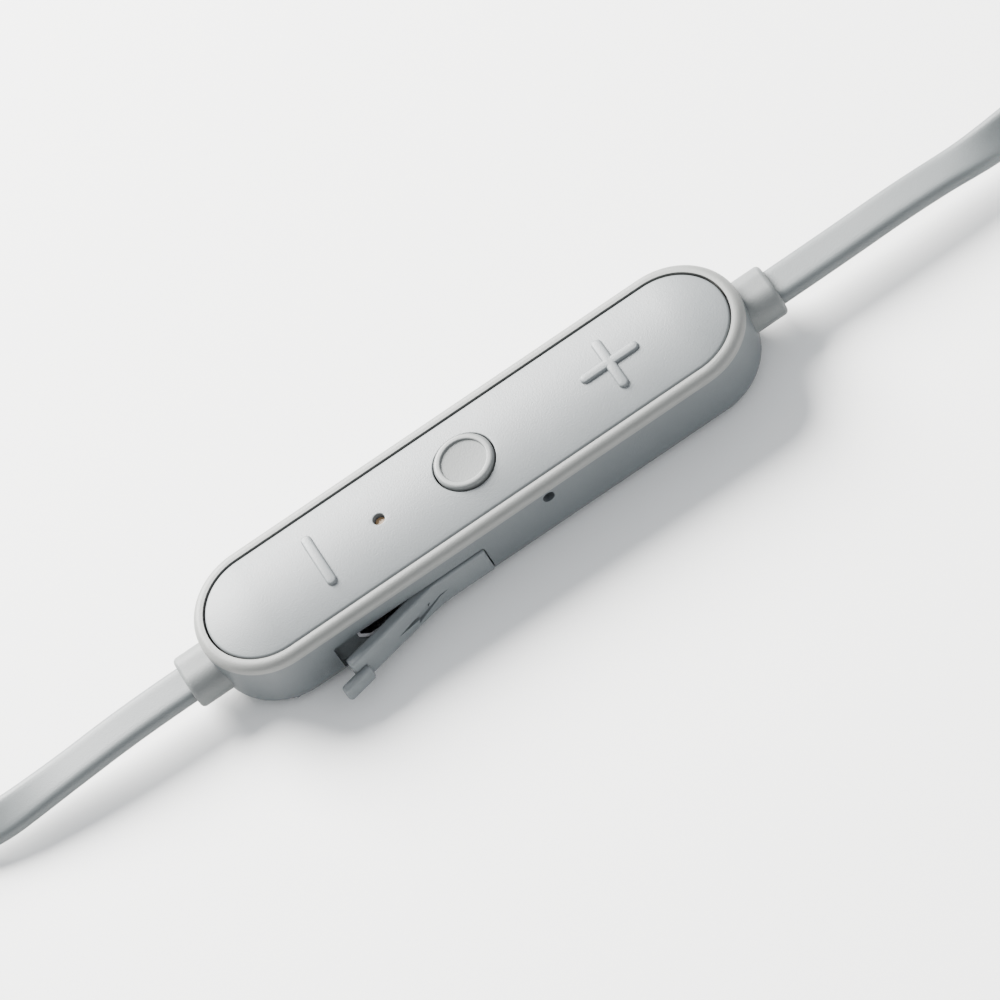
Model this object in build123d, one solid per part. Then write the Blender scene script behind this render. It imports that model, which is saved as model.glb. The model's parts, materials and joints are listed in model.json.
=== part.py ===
from build123d import *
from math import atan2, degrees, pi, radians, tan
import os

# Wireless in-ear earphones: an in-line remote on a flat cable, with an earbud at each end.
# Millimetres. The origin is the centre of the remote's underside. +X runs along the remote
# towards the plus end, -Y is the side with the charging port, +Z is up.

# ---- remote body ----
BODY_LENGTH = 58.4
BODY_WIDTH = 13.7
BODY_HEIGHT = 7.5
WALL = 1.0
FLOOR = 0.9
BASE_RADIUS = 2.0
RIM_HEIGHT = 1.0
RIM_RADIUS = 0.8
RIM_WIDTH = 1.085
SEAM = BODY_HEIGHT - RIM_HEIGHT
STEP_DEPTH = 0.5
STEP_BOTTOM = 5.7
SLIP = 0.05
TONGUE_BOTTOM = STEP_BOTTOM + SLIP
INNER_Y = BODY_WIDTH / 2 - WALL
SNAP_X = (-20.0, -10.0, 10.0, 20.0)
SNAP_HALF_LENGTH = 1.5
SNAP_Y = (6.25, 6.5)
SNAP_Z = (5.98, 6.26)
PILLAR_X = (-23.5, -0.6)
PILLAR_DEPTH = 0.65
END_STOP_X = (24.3, 25.4)
END_STOP_Y = (4.4, 5.6)

# ---- volume plate and centre button ----
PLATE_GAP = 0.2
PLATE_LENGTH = BODY_LENGTH - 2 * (RIM_WIDTH + PLATE_GAP)
PLATE_WIDTH = BODY_WIDTH - 2 * (RIM_WIDTH + PLATE_GAP)
PLATE_UNDERSIDE = 6.55
PLATE_EDGE = 7.45
CROWN = 0.7
SYMBOL_X = 15.9
SYMBOL_LENGTH = 6.25
SYMBOL_BAR = 1.03
SYMBOL_RAISE = 0.3
LIGHT_HOLE_X = -9.3
LIGHT_HOLE_DIAMETER = 1.15
LIGHT_PIPE_RADIUS = 0.5
LIGHT_PIPE_FLANGE = (0.85, 0.2)
LIGHT_PIPE_Z = (6.15, 7.6)
BUTTON_RADIUS = 2.9
BUTTON_DISH_RADIUS = 2.3
BUTTON_GAP = 0.15
BUTTON_FLANGE_RADIUS = 3.4
BUTTON_FLANGE = (6.12, 6.35)
BUTTON_RAISE = 0.28
PRESS_GAP = 0.03
NIB_RADIUS = 0.8
PIVOT_Z = 5.85
PIVOT_RADIUS = 0.4
PIVOT_CLEARANCE = 0.05
LUG_Y = (4.15, 4.75)
PIN_END_Y = 5.35
POST_Y = (4.85, 5.7)

# ---- inside the remote ----
BOARD = (4.6, 5.2)
BOARD_HALF_LENGTH = 25.6
BOARD_GAP = 0.25
CARRIER_LENGTH = 53.6
SWITCH_SIZE = (3.0, 2.6, 0.4)
DOME_RADIUS = 1.1
DOME_HEIGHT = 0.4
DOME_TOP = BOARD[1] + SWITCH_SIZE[2] + DOME_HEIGHT
BATTERY_X = (3.1, 23.0)
BATTERY_Z = (1.15, 4.15)
BATTERY_HALF_WIDTH = 4.9
BATTERY_BOARD_LENGTH = 1.2
LEAD_DIAMETER = 0.6
CABLE_LEAD_DIAMETER = 0.42
CABLE_LEAD_LANES = (-1.2, -0.4, 0.4, 1.2)
CABLE_Z = 3.5
CABLE_WIDTH = 4.0
CABLE_THICKNESS = 1.6
SLEEVE_WIDTH = 5.5
SLEEVE_HEIGHT = 4.0
SLEEVE_END = 32.2
SLEEVE_FLANGE = (25.9, 26.9)

# ---- charging port and its cover ----
PORT_X = -13.0
PORT_OUTER = (7.5, 2.45)
PORT_OPENING = (6.9, 1.85)
PORT_MOUTH_Y = -5.95
PORT_DEPTH = 5.0
PORT_Z = BOARD[0] - PORT_OUTER[1] / 2
PORT_SLOPE = 0.75
PORT_METAL = (PORT_OUTER[0] - PORT_OPENING[0]) / 2
PORT_BACK_Y = PORT_MOUTH_Y + PORT_DEPTH - PORT_METAL
PORT_TONGUE_Y = PORT_MOUTH_Y + 0.95
PORT_TONGUE_WIDTH = 3.9
PORT_TONGUE_Z = (PORT_Z - 0.1, PORT_Z + 0.45)
CONTACT_PITCH = 0.65
CONTACT_SIZE = (0.34, 2.45, 0.1)
RECESS_X = (-19.3, -2.9)
RECESS_Z = (1.3, 4.86)
RECESS_FLOOR_Y = -6.0
RECESS_CORNER = 0.35
PORT_BLOCK_Y = -5.2
PORT_BLOCK_X = (RECESS_X[0] - 1, RECESS_X[1] + 1)
COVER_THICKNESS = 1.1
COVER_PROUD = 0.3
COVER_Z = (1.42, 4.74)
COVER_FACE_Y = -BODY_WIDTH / 2 - COVER_PROUD
COVER_BACK_Y = COVER_FACE_Y + COVER_THICKNESS
HINGE_Y = (COVER_FACE_Y + COVER_BACK_Y) / 2
HINGE_X = -8.7
HINGE_GAP = 0.3
HINGE_WEB = 0.25
FLAP_LENGTH = 10.4
FLAP_AJAR = 13.0
TAB_SIZE = (3.3, 0.9, 1.95)
TAB_OVERLAP = 1.3
TAB_PROUD = 0.68
TAB_Z = 1.5

MIC_X = 4.56
MIC_Z = BODY_HEIGHT - 1.76
MIC_HOLE_DIAMETER = 1.2

# ---- earbuds (laid on their sides) ----
BARREL_RADIUS = 5.75
FRONT_LENGTH = 5.0
REAR_LENGTH = 5.6
NOZZLE_RADIUS = 2.5
NOZZLE_LENGTH = 4.5
TIP_RADIUS = 6.0
TIP_LENGTH = 7.4
TIP_GAP = 0.3
TIP_CORE_RADIUS = 3.3
TIP_BORE_CLEARANCE = 0.06
TIP_SKIN = 0.7
BOOT_LENGTH = 5.5
BOOT_RADII = (2.4, 3.4)
REAR_START = BOOT_LENGTH
FRONT_START = REAR_START + REAR_LENGTH
FRONT_END = FRONT_START + FRONT_LENGTH
NOZZLE_END = FRONT_END + NOZZLE_LENGTH
SHELL = 0.9
DRIVER_RADIUS = 4.6

# ---- cable routes ----
EARBUD_Z = 6.0
HANK_RIGHT_X = -78.0
HANK_LEFT_X = -112.0
HANK_OUTER = 14.2
HANK_INNER = 10.8
HANK_HEIGHT = 4.35
TIE_X = -104.0
TIE_WIDTH = 3.0
TIE_THICKNESS = 0.3

LEFT_ROUTE = [
    (-SLEEVE_END, 0, CABLE_Z),
    (-38.0, 0, CABLE_Z),
    (-46.5, -0.1, 2.75),
    (-55.5, 0.0, 2.0),
    (-61.0, 3.0, 2.1),
    (-66.3, 8.8, 2.35),
    (-72.2, 12.9, 2.35),
    (-78.8, 13.35, 2.35),
]
TAIL_ROUTE = [
    (-67.4, -1.0, 2.35),
    (-69.0, 4.1, 2.35),
    (-72.8, 8.3, 2.4),
    (-78.0, 9.6, 2.9),
    (-82.9, 8.4, 4.1),
    (-86.6, 5.4, 5.3),
    (-89.7, 3.1, EARBUD_Z),
    (-93.3, 2.4, EARBUD_Z),
]
RIGHT_ROUTE = [
    (SLEEVE_END, 0, CABLE_Z),
    (38.5, 0, CABLE_Z),
    (47.5, 0.15, 3.55),
    (57.0, 0.0, 3.0),
    (66.0, 2.4, 2.35),
    (75.6, 8.6, 2.0),
    (83.2, 12.9, 2.0),
    (90.0, 13.4, 2.0),
    (96.0, 11.1, 2.0),
    (100.2, 6.0, 2.0),
    (101.2, -0.4, 2.3),
    (98.9, -6.2, 3.2),
    (94.2, -9.4, 4.6),
    (88.6, -9.6, EARBUD_Z),
    (82.8, -9.55, EARBUD_Z),
]

LAST_FLAT = 3


# ---------------------------------------------------------------- helpers


def write(solid, name, colour=(0.8, 0.8, 0.8)):
    solid.label = name
    solid.color = Color(*colour)
    export_step(solid, f"parts/{name}.step")


def block(x, y, z):
    """A box from its lowest and highest coordinates."""
    centre = ((x[0] + x[1]) / 2, (y[0] + y[1]) / 2, (z[0] + z[1]) / 2)
    return Pos(*centre) * Box(x[1] - x[0], y[1] - y[0], z[1] - z[0])


def rod(radius, z, x=0.0, y=0.0):
    """An upright cylinder between two heights."""
    return Pos(x, y, (z[0] + z[1]) / 2) * Cylinder(radius, z[1] - z[0])


def slab(length, width, z, x=0.0):
    """A stadium-shaped slab, its straight sides along X."""
    return extrude(Plane.XY.offset(z[0]) * Pos(x, 0) * SlotOverall(length, width), z[1] - z[0])


def lowest_edges(solid):
    return solid.edges().group_by(Axis.Z)[0]


def highest_edges(solid):
    return solid.edges().group_by(Axis.Z)[-1]


def domed_slab(length, width, underside, edge, crown, corner=0.15):
    """A stadium plate whose top is crowned by the same arc on its sides and its ends."""
    half = width / 2
    profile = make_face(
        Plane.YZ
        * (
            Polyline(
                (0, edge + crown),
                (0, underside),
                (half, underside),
                (half, edge - corner),
                (half - corner, edge),
            )
            + RadiusArc((half - corner, edge), (0, edge + crown), -arc_radius(half - corner, crown))
        )
    )
    span = (length - width) / 2
    left = Pos(-span, 0, 0) * revolve(profile, Axis.Z, 180)
    right = mirror(left, Plane.YZ)
    middle_face = profile + mirror(profile, Plane.XZ)
    middle = Pos(-span, 0, 0) * extrude(middle_face, 2 * span, dir=(1, 0, 0))
    return left + middle + right


def arc_radius(chord, rise):
    """The radius of an arc that starts level and falls by rise over chord."""
    return (chord**2 + rise**2) / (2 * rise)


def route_radii(points):
    """The fillet at each corner of a cable's route: 0.45 of its shorter run over tan(half turn)."""
    corners = [Vector(*p) for p in points]
    radii = []
    for before, here, after in zip(corners, corners[1:], corners[2:]):
        arriving, leaving = here - before, after - here
        half_turn = radians(arriving.get_angle(leaving)) / 2
        radii.append(0.45 * min(arriving.length, leaving.length) / tan(half_turn))
    return radii


def flat_cable(points, radii, on_edge=False):
    """A flat cable swept along straight runs joined by tangent arcs, and the length of its line."""
    path = FilletPolyline(*points, radius=radii)
    across = (0, 0, 1) if on_edge else (0, 1, 0)
    section = Plane(origin=path @ 0, x_dir=across, z_dir=path % 0) * SlotOverall(CABLE_WIDTH, CABLE_THICKNESS)
    return sweep(section, path=path), path.length


def turned_cable(points, last_flat):
    """A cable that lies flat as far as the middle of one run, and stands on its edge after it."""
    middle = (Vector(*points[last_flat]) + Vector(*points[last_flat + 1])) / 2
    radii = route_radii(points)
    flat = flat_cable([*points[: last_flat + 1], tuple(middle)], radii[:last_flat])
    edge = flat_cable([tuple(middle), *points[last_flat + 1 :]], radii[last_flat:], on_edge=True)
    return flat, edge


def room_along(end, beyond, left, right):
    """A tall box along a run of cable, from its end towards beyond, this far left and right of its middle."""
    back = (beyond[0] - end[0], beyond[1] - end[1], 0)
    face = Plane(origin=(end[0], end[1], 0), x_dir=(0, 0, 1), z_dir=back)
    return extrude(face * Pos(0, (right - left) / 2) * Rectangle(4 * HANK_HEIGHT, left + right), HANK_OUTER)


def wire_run(points, diameter):
    """A thin insulated lead along straight runs with small bends."""
    path = FilletPolyline(*points, radius=diameter)
    return sweep(Plane(origin=path @ 0, z_dir=path % 0) * Circle(diameter / 2), path=path)


# ---------------------------------------------------------------- remote: shells


def both_sides(x, y, z):
    """The same box on the +Y side and, mirrored, on the -Y side."""
    near = block(x, (-y[1], -y[0]), z)
    return near + block(x, y, z)


def bottom_shell():
    outer = slab(BODY_LENGTH, BODY_WIDTH, (0, SEAM))
    outer = fillet(lowest_edges(outer), BASE_RADIUS)
    cavity = slab(BODY_LENGTH - 2 * WALL, BODY_WIDTH - 2 * WALL, (FLOOR, SEAM + 1))
    cavity = fillet(lowest_edges(cavity), BASE_RADIUS - FLOOR)
    shell = outer - cavity
    shell -= slab(BODY_LENGTH - 2 * STEP_DEPTH, BODY_WIDTH - 2 * STEP_DEPTH, (STEP_BOTTOM, SEAM + 1))
    root = FLOOR - 0.2
    into_wall = INNER_Y + 0.3
    shell += block(PORT_BLOCK_X, (-into_wall, PORT_BLOCK_Y), (root, BOARD[1]))
    for x in PILLAR_X:
        shell += both_sides((x - 1, x + 1), (INNER_Y - PILLAR_DEPTH, into_wall), (root, BOARD[0]))
    shell += both_sides(END_STOP_X, END_STOP_Y, (root, BOARD[0]))
    shell -= recess()
    shell -= port_opening()
    for end in (-1, 1):
        shell -= sleeve_section(0.0, end * (SLEEVE_FLANGE[1] + SLIP), end * (SLEEVE_END + 1))
    shell -= microphone_hole()
    for x in SNAP_X:
        half = SNAP_HALF_LENGTH + 2 * SLIP
        y = (SNAP_Y[0] - SLIP, SNAP_Y[1] + 2 * SLIP)
        shell -= both_sides((x - half, x + half), y, (SNAP_Z[0] - SLIP, SNAP_Z[1] + SLIP))
    shell -= block((RECESS_X[1] - 0.5, RECESS_X[1] + 0.9), (-6.75, -6.15), (2.2, 3.4))
    return shell


def microphone_hole():
    return Pos(MIC_X, -BODY_WIDTH / 2, MIC_Z) * Rot(90, 0, 0) * Cylinder(MIC_HOLE_DIAMETER / 2, 4)


def recess():
    """The pocket in the near side wall that the port cover closes."""
    width, height = RECESS_X[1] - RECESS_X[0], RECESS_Z[1] - RECESS_Z[0]
    centre = ((RECESS_X[0] + RECESS_X[1]) / 2, RECESS_FLOOR_Y, (RECESS_Z[0] + RECESS_Z[1]) / 2)
    plane = Plane(origin=centre, x_dir=(1, 0, 0), z_dir=(0, -1, 0))
    return extrude(plane * RectangleRounded(width, height, RECESS_CORNER), 3)


def port_section(size, slope):
    """The charging socket's outline: a rectangle whose lower corners are cut off."""
    half_width, half_height = size[0] / 2, size[1] / 2
    return make_face(
        Polyline(
            (-half_width, half_height),
            (half_width, half_height),
            (half_width, -half_height + slope),
            (half_width - slope, -half_height),
            (-half_width + slope, -half_height),
            (-half_width, -half_height + slope),
            (-half_width, half_height),
        )
    )


def port_prism(size, slope, y_from, y_to):
    plane = Plane(origin=(PORT_X, y_from, PORT_Z), x_dir=(1, 0, 0), z_dir=(0, -1, 0))
    return extrude(plane * port_section(size, slope), y_from - y_to)


def port_opening():
    loose = (PORT_OUTER[0] + 2 * SLIP, PORT_OUTER[1] + 2 * SLIP)
    return port_prism(loose, PORT_SLOPE, PORT_BLOCK_Y + 1, RECESS_FLOOR_Y - 1)


def sleeve_section(gap, x_from, x_to):
    """A stadium bar along X at the cable's height."""
    x = sorted((x_from, x_to))
    plane = Plane(origin=(x[0], 0, CABLE_Z), x_dir=(0, 1, 0), z_dir=(1, 0, 0))
    return extrude(plane * SlotOverall(SLEEVE_WIDTH + 2 * gap, SLEEVE_HEIGHT + 2 * gap), x[1] - x[0])


def top_frame():
    rim = slab(BODY_LENGTH, BODY_WIDTH, (SEAM, BODY_HEIGHT))
    rim = fillet(highest_edges(rim), RIM_RADIUS)
    step = 2 * (STEP_DEPTH + SLIP)
    tongue = slab(BODY_LENGTH - step, BODY_WIDTH - step, (TONGUE_BOTTOM, SEAM))
    rims = 2 * RIM_WIDTH
    opening = slab(BODY_LENGTH - rims, BODY_WIDTH - rims, (TONGUE_BOTTOM - 1, BODY_HEIGHT + 1))
    frame = rim + tongue - opening
    stop_edge = BODY_WIDTH / 2 - RIM_WIDTH
    for x in SNAP_X:
        frame += both_sides((x - SNAP_HALF_LENGTH, x + SNAP_HALF_LENGTH), SNAP_Y, SNAP_Z)
        stop_y = (stop_edge - 0.5, stop_edge + SLIP)
        frame += both_sides((x + 2.5, x + 4.5), stop_y, (TONGUE_BOTTOM, SNAP_Z[0]))
    return frame - microphone_hole()


def button_carrier():
    """The inner frame that holds the board down and carries the plate's pivots."""
    outer, inner = 2 * POST_Y[1], 2 * POST_Y[0]
    carrier = slab(CARRIER_LENGTH, outer, (BOARD[1], STEP_BOTTOM + 0.03))
    carrier -= slab(CARRIER_LENGTH - (outer - inner), inner, (BOARD[1] - 1, STEP_BOTTOM + 1))
    carrier += both_sides((-1.3, 1.3), POST_Y, (BOARD[1], PLATE_UNDERSIDE - 0.1))
    socket = Cylinder(PIVOT_RADIUS + PIVOT_CLEARANCE, 2 * (PIN_END_Y + 0.1))
    carrier -= Pos(0, 0, PIVOT_Z) * Rot(90, 0, 0) * socket
    carrier -= block((MIC_X - 1.6, MIC_X + 1.6), (-6, -4), (BOARD[1] - 1, 7))
    clear_x = (PORT_BLOCK_X[0] - BOARD_GAP, PORT_BLOCK_X[1] + BOARD_GAP)
    carrier -= block(clear_x, (-6, PORT_BLOCK_Y + SLIP), (BOARD[1] - 1, BOARD[1] + 0.02))
    return carrier


# ---------------------------------------------------------------- remote: what is pressed


def raised(shape_2d, height):
    """A raised symbol that follows the plate's crown."""
    cover = domed_slab(PLATE_LENGTH, PLATE_WIDTH, PLATE_EDGE - 0.3, PLATE_EDGE + height, CROWN)
    return extrude(Plane.XY.offset(PLATE_EDGE - 0.2) * shape_2d, 3) & cover


def rocker_plate():
    plate = domed_slab(PLATE_LENGTH, PLATE_WIDTH, PLATE_UNDERSIDE, PLATE_EDGE, CROWN)
    bar = SlotOverall(SYMBOL_LENGTH, SYMBOL_BAR)
    plate += raised(Pos(-SYMBOL_X, 0) * Rot(0, 0, 90) * bar, SYMBOL_RAISE)
    plate += raised(Pos(SYMBOL_X, 0) * (bar + Rot(0, 0, 90) * bar), SYMBOL_RAISE)
    plate -= rod(BUTTON_RADIUS + BUTTON_GAP, (5, 10))
    plate -= rod(LIGHT_HOLE_DIAMETER / 2, (5, 10), LIGHT_HOLE_X)
    for x in (-SYMBOL_X, SYMBOL_X):
        plate += rod(NIB_RADIUS, (DOME_TOP + PRESS_GAP, PLATE_UNDERSIDE + 0.3), x)
    plate += both_sides((-0.7, 0.7), LUG_Y, (PIVOT_Z - PIVOT_RADIUS - SLIP, PLATE_UNDERSIDE + 0.3))
    for side in (-1, 1):
        pin = Cylinder(PIVOT_RADIUS, PIN_END_Y - LUG_Y[0])
        plate += Pos(0, side * (PIN_END_Y + LUG_Y[0]) / 2, PIVOT_Z) * Rot(90, 0, 0) * pin
    return plate


def light_pipe():
    """The clear rod that brings the indicator's light up the hole in the plate."""
    flange_radius, flange_height = LIGHT_PIPE_FLANGE
    pipe = rod(LIGHT_PIPE_RADIUS, LIGHT_PIPE_Z, LIGHT_HOLE_X)
    return pipe + rod(flange_radius, (PLATE_UNDERSIDE - flange_height, PLATE_UNDERSIDE), LIGHT_HOLE_X)


def center_button():
    top = PLATE_EDGE + CROWN
    button = rod(BUTTON_RADIUS, (BUTTON_FLANGE[0], top + BUTTON_RAISE))
    button = fillet(highest_edges(button), 0.2)
    button -= rod(BUTTON_DISH_RADIUS, (top - 0.04, top + 1))
    button += rod(BUTTON_FLANGE_RADIUS, BUTTON_FLANGE)
    button += rod(NIB_RADIUS, (DOME_TOP + PRESS_GAP, BUTTON_FLANGE[0] + 0.2))
    return button


def switch_base(x):
    width, depth, height = SWITCH_SIZE
    z = (BOARD[1], BOARD[1] + height)
    return block((x - width / 2, x + width / 2), (-depth / 2, depth / 2), z)


def switch_dome(x):
    """The metal snap dome of a switch, a cap of a sphere."""
    base = BOARD[1] + SWITCH_SIZE[2]
    sphere = arc_radius(DOME_RADIUS, DOME_HEIGHT)
    ball = Pos(x, 0, DOME_TOP - sphere) * Sphere(sphere)
    return ball & rod(DOME_RADIUS + 0.2, (base, DOME_TOP + 1), x)


# ---------------------------------------------------------------- remote: electronics


def main_pcb():
    board = slab(BODY_LENGTH - 2 * WALL - 2 * BOARD_GAP, BODY_WIDTH - 2 * WALL - 2 * BOARD_GAP, BOARD)
    board &= block((-BOARD_HALF_LENGTH, BOARD_HALF_LENGTH), (-7, 7), (4, 6))
    clear_x = (PORT_BLOCK_X[0] - BOARD_GAP, PORT_BLOCK_X[1] + BOARD_GAP)
    board -= block(clear_x, (-7, PORT_BLOCK_Y + 0.1), (4, 6))
    return board


def on_board(x, y, height):
    """A component that stands on the board's top side."""
    return block(x, y, (BOARD[1], BOARD[1] + height))


def small_components():
    """Resistors, capacitors and the crystal, along the middle of the board."""
    parts = [on_board((19.8, 22.3), (-3.6, -1.8), 0.5)]
    for x in (-22.0, -20.6, 20.2, 21.6, 23.0):
        for y in ((-0.8, -0.3), (0.9, 1.4)):
            parts.append(on_board((x, x + 1.0), y, 0.35))
    return Compound(children=parts)


def microphone():
    return on_board((MIC_X - 1.3, MIC_X + 1.3), (-4.5, -2.9), 0.9)


def mic_boot():
    """The rubber duct between the microphone and the hole in the wall."""
    boot = block((MIC_X - 1.4, MIC_X + 1.4), (-5.7, -4.52), (BOARD[1], 6.35))
    return boot - Pos(MIC_X, -5.1, MIC_Z) * Rot(90, 0, 0) * Cylinder(0.4, 3)


def usb_shell():
    body = port_prism(PORT_OUTER, PORT_SLOPE, PORT_MOUTH_Y + PORT_DEPTH, PORT_MOUTH_Y)
    return body - port_prism(PORT_OPENING, PORT_SLOPE, PORT_BACK_Y, PORT_MOUTH_Y - 1)


def usb_tongue():
    half_width = PORT_TONGUE_WIDTH / 2
    half_height = PORT_OPENING[1] / 2 - SLIP
    tongue = block((PORT_X - half_width, PORT_X + half_width), (PORT_TONGUE_Y, PORT_BACK_Y), PORT_TONGUE_Z)
    root_z = (PORT_Z - half_height, PORT_Z + half_height)
    root_x = (PORT_X - half_width - CONTACT_PITCH, PORT_X + half_width + CONTACT_PITCH)
    return tongue + block(root_x, (PORT_BACK_Y - 0.8, PORT_BACK_Y), root_z)


def usb_contacts():
    width, length, thickness = CONTACT_SIZE
    z = (PORT_TONGUE_Z[0] - thickness, PORT_TONGUE_Z[0])
    y = (PORT_TONGUE_Y + 0.15, PORT_TONGUE_Y + 0.15 + length)
    middles = [PORT_X + CONTACT_PITCH * k for k in range(-2, 3)]
    return Compound(children=[block((x - width / 2, x + width / 2), y, z) for x in middles])


def battery_cell():
    cell = block(BATTERY_X, (-BATTERY_HALF_WIDTH, BATTERY_HALF_WIDTH), BATTERY_Z)
    return fillet(cell.edges().filter_by(Axis.X), 0.6)


def battery_pcm():
    x = (BATTERY_X[0] - BATTERY_BOARD_LENGTH, BATTERY_X[0])
    return block(x, (-4.2, 4.2), (BATTERY_Z[0] + 0.4, BATTERY_Z[1] - 0.4))


def battery_pad():
    return block((BATTERY_X[0] + 1, BATTERY_X[1] - 1), (-4.0, 4.0), (FLOOR, BATTERY_Z[0]))


def battery_lead(y):
    start = BATTERY_X[0] - BATTERY_BOARD_LENGTH
    middle = sum(BATTERY_Z) / 2
    end = start - 3.4
    return wire_run([(start, y, middle), (end, y, middle), (end, y, BOARD[0])], LEAD_DIAMETER)


def cable_leads(end):
    """Four leads from the moulded cable end up to pads under the board."""
    x = end * SLEEVE_FLANGE[0]
    pad_x = x - end * 1.2
    leads = []
    for y in CABLE_LEAD_LANES:
        route = [(x, y, CABLE_Z), (pad_x, y, CABLE_Z), (pad_x, y, BOARD[0])]
        leads.append(wire_run(route, CABLE_LEAD_DIAMETER))
    return Compound(children=leads)


def sleeve(end):
    """The moulded strain relief, with the flange that holds it inside the shell's end wall."""
    body = sleeve_section(0.0, end * SLEEVE_FLANGE[1], end * SLEEVE_END)
    rim = body.edges().group_by(Axis.X)[-1 if end > 0 else 0]
    body = fillet(rim, 0.4)
    x = sorted((end * SLEEVE_FLANGE[0], end * SLEEVE_FLANGE[1]))
    plane = Plane(origin=(x[0], 0, CABLE_Z), x_dir=(0, 1, 0), z_dir=(1, 0, 0))
    flange = extrude(plane * RectangleRounded(6.6, 3.2, 1.2), x[1] - x[0])
    return body + flange


# ---------------------------------------------------------------- remote: port cover


def cover_strip(far, side):
    """One side of the cover, tapered to its thin hinge: side is -1 for the flap, 1 for the leaf."""
    half = COVER_THICKNESS / 2
    outline = Polyline(
        (HINGE_X + side * HINGE_GAP, HINGE_Y - HINGE_WEB),
        (HINGE_X + side * 0.95, HINGE_Y - half),
        (far, HINGE_Y - half),
        (far, HINGE_Y + half),
        (HINGE_X + side * 0.95, HINGE_Y + half),
        (HINGE_X + side * HINGE_GAP, HINGE_Y + HINGE_WEB),
        (HINGE_X + side * HINGE_GAP, HINGE_Y - HINGE_WEB),
    )
    return extrude(Plane.XY.offset(COVER_Z[0]) * make_face(outline), COVER_Z[1] - COVER_Z[0])


def port_cover_leaf():
    leaf = cover_strip(RECESS_X[1] - 0.12, 1)
    corner = leaf.edges().filter_by(Axis.Y).sort_by(Axis.X)[-2:]
    leaf = fillet(corner, 0.3)
    leaf += block((RECESS_X[1] - 0.3, RECESS_X[1] + 0.75), (-6.7, -6.2), (2.3, 3.3))
    return leaf


def port_cover_flap():
    end = HINGE_X - FLAP_LENGTH
    flap = cover_strip(end, -1)
    flap = fillet(flap.edges().filter_by(Axis.Y).sort_by(Axis.X)[:2], 0.5)
    flap += Pos(HINGE_X, HINGE_Y, sum(COVER_Z) / 2) * Cylinder(HINGE_WEB, COVER_Z[1] - COVER_Z[0])
    flap += block((HINGE_X - HINGE_GAP - 0.05, HINGE_X), (HINGE_Y - HINGE_WEB, HINGE_Y + HINGE_WEB), COVER_Z)
    length, thickness, height = TAB_SIZE
    tab_x = (end + TAB_OVERLAP - length, end + TAB_OVERLAP)
    tab_face = COVER_FACE_Y - TAB_PROUD
    tab = block(tab_x, (tab_face, tab_face + thickness), (TAB_Z, TAB_Z + height))
    flap += fillet(tab.edges().filter_by(Axis.Y), 0.4)
    lip = (PORT_OPENING[0] - 0.6, PORT_OPENING[1] - 0.5)
    flap += port_prism(lip, PORT_SLOPE, COVER_BACK_Y + 0.75, COVER_BACK_Y - 0.1)
    axis = Axis((HINGE_X, HINGE_Y, 0), (0, 0, 1))
    return flap.rotate(axis, FLAP_AJAR)


# ---------------------------------------------------------------- earbuds


def turned(*profile):
    """A body of revolution about the earbud's axis: (distance from the cable end, radius) pairs."""
    outline = Plane.XZ * Polyline(*[(x, r) for x, r in profile], profile[0])
    return revolve(make_face(outline), Axis.X, 360)


def at_end_of(route, solid):
    """Lays an earbud piece down at a cable's end, its axis along the cable's last run."""
    before, end = route[-2:]
    heading = degrees(atan2(end[1] - before[1], end[0] - before[0]))
    return Pos(*end) * Rot(0, 0, heading) * solid


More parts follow.
